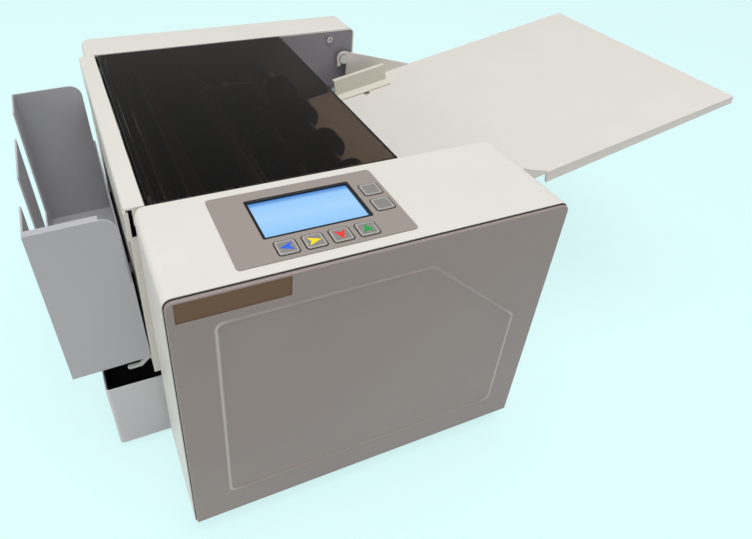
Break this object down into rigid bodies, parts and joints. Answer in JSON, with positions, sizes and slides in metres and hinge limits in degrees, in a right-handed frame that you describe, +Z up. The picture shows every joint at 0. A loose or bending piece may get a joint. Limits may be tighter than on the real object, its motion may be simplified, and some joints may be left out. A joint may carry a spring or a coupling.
{
  "type": "business card cutter",
  "caption": "Desktop electric machine that feeds sheets from a sloping tray, slits and crosscuts them into cards, and drops the cards into a side bin.",
  "frame": {"origin": "centre of the footprint on the table, under the feet", "axes": "+X towards the feed tray, +Y from the control cabinet to the rear cabinet, +Z up"},
  "size_m": [0.6054, 0.3898, 0.2293],
  "materials": {
    "zinc_steel": "zinc plated",
    "foot_rubber": "matt",
    "frame_steel": "satin",
    "bright_steel": "ground",
    "bronze": "satin",
    "cabinet_paint": "fine textured powder coat",
    "panel_paint": "fine textured powder coat",
    "bronze_plate": "brushed, bronze anodised",
    "membrane": "fine matt film",
    "black_gloss": "gloss",
    "display": "clear window over a lit blue screen",
    "circuit_board": "solder mask",
    "key_caps": "satin",
    "black_plastic": "matt",
    "smoked_acrylic": "polished smoked acrylic",
    "tray_paint": "satin powder coat",
    "guide_paint": "satin powder coat",
    "bin_paint": "satin powder coat",
    "white_plastic": "gloss",
    "drawer_paint": "satin powder coat",
    "liner_plastic": "matt",
    "roller_rubber": "ground rubber",
    "knife_steel": "ground and polished",
    "machined_steel": "machined",
    "cast_metal": "cast and machined",
    "motor_black": "satin",
    "belt_rubber": "matt"
  },
  "bodies": {
    "machine": {"base_plate": "zinc_steel", "feet": "foot_rubber", "front_frame": "frame_steel", "rear_frame": "frame_steel", "tie_rods": "bright_steel", "bearing_bushes": "bronze", "front_cover": "cabinet_paint", "front_panel": "panel_paint", "name_plate": "bronze_plate", "rear_cover": "cabinet_paint", "crossbar": "cabinet_paint", "left_panel": "cabinet_paint", "right_panel": "cabinet_paint", "control_membrane": "membrane", "display_frame": "black_gloss", "display_glass": "display", "control_board": "circuit_board", "power_inlet": "black_plastic", "tray_pins": "bright_steel", "bin_rest": "white_plastic", "feed_table": "zinc_steel", "blade_posts": "machined_steel", "bed_blade": "knife_steel", "cutter_motor": "motor_black", "main_motor": "motor_black", "drive_belts": "belt_rubber"},
    "lid": {"lid": "smoked_acrylic", "lid_pins": "bright_steel"},
    "tray": {"feed_tray": "tray_paint"},
    "front_guide": {"guide_front": "guide_paint"},
    "rear_guide": {"guide_rear": "guide_paint"},
    "bin": {"card_bin": "bin_paint"},
    "drawer": {"waste_drawer": "drawer_paint", "drawer_liner": "liner_plastic"},
    "left_key": {"key_left": "key_caps"},
    "right_key": {"key_right": "key_caps"},
    "down_key": {"key_down": "key_caps"},
    "up_key": {"key_up": "key_caps"},
    "start_key": {"key_start": "key_caps"},
    "cut_key": {"key_cut": "key_caps"},
    "switch": {"power_switch": "black_plastic"},
    "pickup_roller": {"pickup_shaft": "bright_steel", "pickup_tyres": "roller_rubber"},
    "lower_feed_roller": {"feed_shaft_lower": "bright_steel", "feed_tyres_lower": "roller_rubber"},
    "upper_feed_roller": {"feed_shaft_upper": "bright_steel", "feed_tyres_upper": "roller_rubber"},
    "lower_slitter": {"slitter_shaft_lower": "bright_steel", "slitter_knives_lower": "knife_steel"},
    "upper_slitter": {"slitter_shaft_upper": "bright_steel", "slitter_knives_upper": "knife_steel"},
    "lower_exit_roller": {"exit_shaft_lower": "bright_steel", "exit_tyres_lower": "roller_rubber"},
    "upper_exit_roller": {"exit_shaft_upper": "bright_steel", "exit_tyres_upper": "roller_rubber"},
    "guillotine": {"blade_carrier": "cast_metal", "moving_blade": "knife_steel"},
    "guillotine_shaft": {"blade_drive_shaft": "bright_steel"},
    "cutter_pinion": {"cutter_motor_gear": "bright_steel"},
    "motor_pulley": {"main_motor_pulley": "bright_steel"}
  },
  "joints": [
    {"name": "lid_hinge", "type": "hinge", "parent": "machine", "child": "lid", "pos_m": [-0.22625, 0.0234, 0.224], "axis": [0, -1, 0], "range_deg": [0, 95]},
    {"name": "tray_lift", "type": "slide", "parent": "machine", "child": "tray", "axis": [0, 0, 1], "range_m": [0, 0.012]},
    {"name": "front_guide_slide", "type": "slide", "parent": "tray", "child": "front_guide", "axis": [0, 1, 0], "range_m": [-0.008, 0.008]},
    {"name": "rear_guide_slide", "type": "slide", "parent": "tray", "child": "rear_guide", "axis": [0, 1, 0], "range_m": [-0.008, 0.008]},
    {"name": "bin_lift", "type": "slide", "parent": "machine", "child": "bin", "axis": [0, 0, 1], "range_m": [0, 0.01]},
    {"name": "drawer_slide", "type": "slide", "parent": "machine", "child": "drawer", "axis": [-1, 0, 0], "range_m": [0, 0.16]},
    {"name": "left_key_press", "type": "slide", "parent": "machine", "child": "left_key", "axis": [0, 0, -1], "range_m": [0, 0.001], "stiffness_N_per_m": 800, "springref_m": -0.0005},
    {"name": "right_key_press", "type": "slide", "parent": "machine", "child": "right_key", "axis": [0, 0, -1], "range_m": [0, 0.001], "stiffness_N_per_m": 800, "springref_m": -0.0005},
    {"name": "down_key_press", "type": "slide", "parent": "machine", "child": "down_key", "axis": [0, 0, -1], "range_m": [0, 0.001], "stiffness_N_per_m": 800, "springref_m": -0.0005},
    {"name": "up_key_press", "type": "slide", "parent": "machine", "child": "up_key", "axis": [0, 0, -1], "range_m": [0, 0.001], "stiffness_N_per_m": 800, "springref_m": -0.0005},
    {"name": "start_key_press", "type": "slide", "parent": "machine", "child": "start_key", "axis": [0, 0, -1], "range_m": [0, 0.001], "stiffness_N_per_m": 800, "springref_m": -0.0005},
    {"name": "cut_key_press", "type": "slide", "parent": "machine", "child": "cut_key", "axis": [0, 0, -1], "range_m": [0, 0.001], "stiffness_N_per_m": 800, "springref_m": -0.0005},
    {"name": "switch_rock", "type": "hinge", "parent": "machine", "child": "switch", "pos_m": [-0.06095, 0.1883, 0.042], "axis": [1, 0, 0], "range_deg": [-6, 6]},
    {"name": "lower_slitter_spin", "type": "hinge", "parent": "machine", "child": "lower_slitter", "pos_m": [-0.13395, 0.0234, 0.1585], "axis": [0, 1, 0], "continuous": true},
    {"name": "upper_slitter_spin", "type": "hinge", "parent": "machine", "child": "upper_slitter", "pos_m": [-0.13395, 0.0234, 0.1835], "axis": [0, 1, 0], "continuous": true},
    {"name": "lower_feed_spin", "type": "hinge", "parent": "machine", "child": "lower_feed_roller", "pos_m": [-0.09895, 0.0234, 0.1598], "axis": [0, 1, 0], "continuous": true},
    {"name": "upper_feed_spin", "type": "hinge", "parent": "machine", "child": "upper_feed_roller", "pos_m": [-0.09895, 0.0234, 0.1822], "axis": [0, 1, 0], "continuous": true},
    {"name": "lower_exit_spin", "type": "hinge", "parent": "machine", "child": "lower_exit_roller", "pos_m": [-0.22295, 0.0234, 0.1598], "axis": [0, 1, 0], "continuous": true},
    {"name": "upper_exit_spin", "type": "hinge", "parent": "machine", "child": "upper_exit_roller", "pos_m": [-0.22295, 0.0234, 0.1822], "axis": [0, 1, 0], "continuous": true},
    {"name": "pickup_spin", "type": "hinge", "parent": "machine", "child": "pickup_roller", "pos_m": [-0.06695, 0.0234, 0.1855], "axis": [0, 1, 0], "continuous": true},
    {"name": "motor_pulley_spin", "type": "hinge", "parent": "machine", "child": "motor_pulley", "pos_m": [-0.08895, 0.0234, 0.1], "axis": [0, 1, 0], "continuous": true},
    {"name": "guillotine_shaft_turn", "type": "hinge", "parent": "machine", "child": "guillotine_shaft", "pos_m": [-0.20895, 0.0234, 0.196], "axis": [0, 1, 0], "range_deg": [0, 64.4]},
    {"name": "guillotine_stroke", "type": "slide", "parent": "machine", "child": "guillotine", "axis": [0, 0, -1], "range_m": [0, 0.009]},
    {"name": "cutter_pinion_turn", "type": "hinge", "parent": "machine", "child": "cutter_pinion", "pos_m": [-0.18067, 0.0234, 0.18599], "axis": [0, 1, 0], "range_deg": [-129, 0]}
  ],
  "couplings": [
    {"joint": "upper_slitter_spin", "follows": "lower_slitter_spin", "ratio": -1},
    {"joint": "lower_feed_spin", "follows": "lower_slitter_spin", "ratio": 1},
    {"joint": "upper_feed_spin", "follows": "lower_slitter_spin", "ratio": -1},
    {"joint": "lower_exit_spin", "follows": "lower_slitter_spin", "ratio": 1},
    {"joint": "upper_exit_spin", "follows": "lower_slitter_spin", "ratio": -1},
    {"joint": "pickup_spin", "follows": "lower_slitter_spin", "ratio": -1},
    {"joint": "motor_pulley_spin", "follows": "lower_slitter_spin", "ratio": 1},
    {"joint": "guillotine_stroke", "follows": "guillotine_shaft_turn", "m_per_rad": 0.008},
    {"joint": "cutter_pinion_turn", "follows": "guillotine_shaft_turn", "ratio": -2}
  ]
}
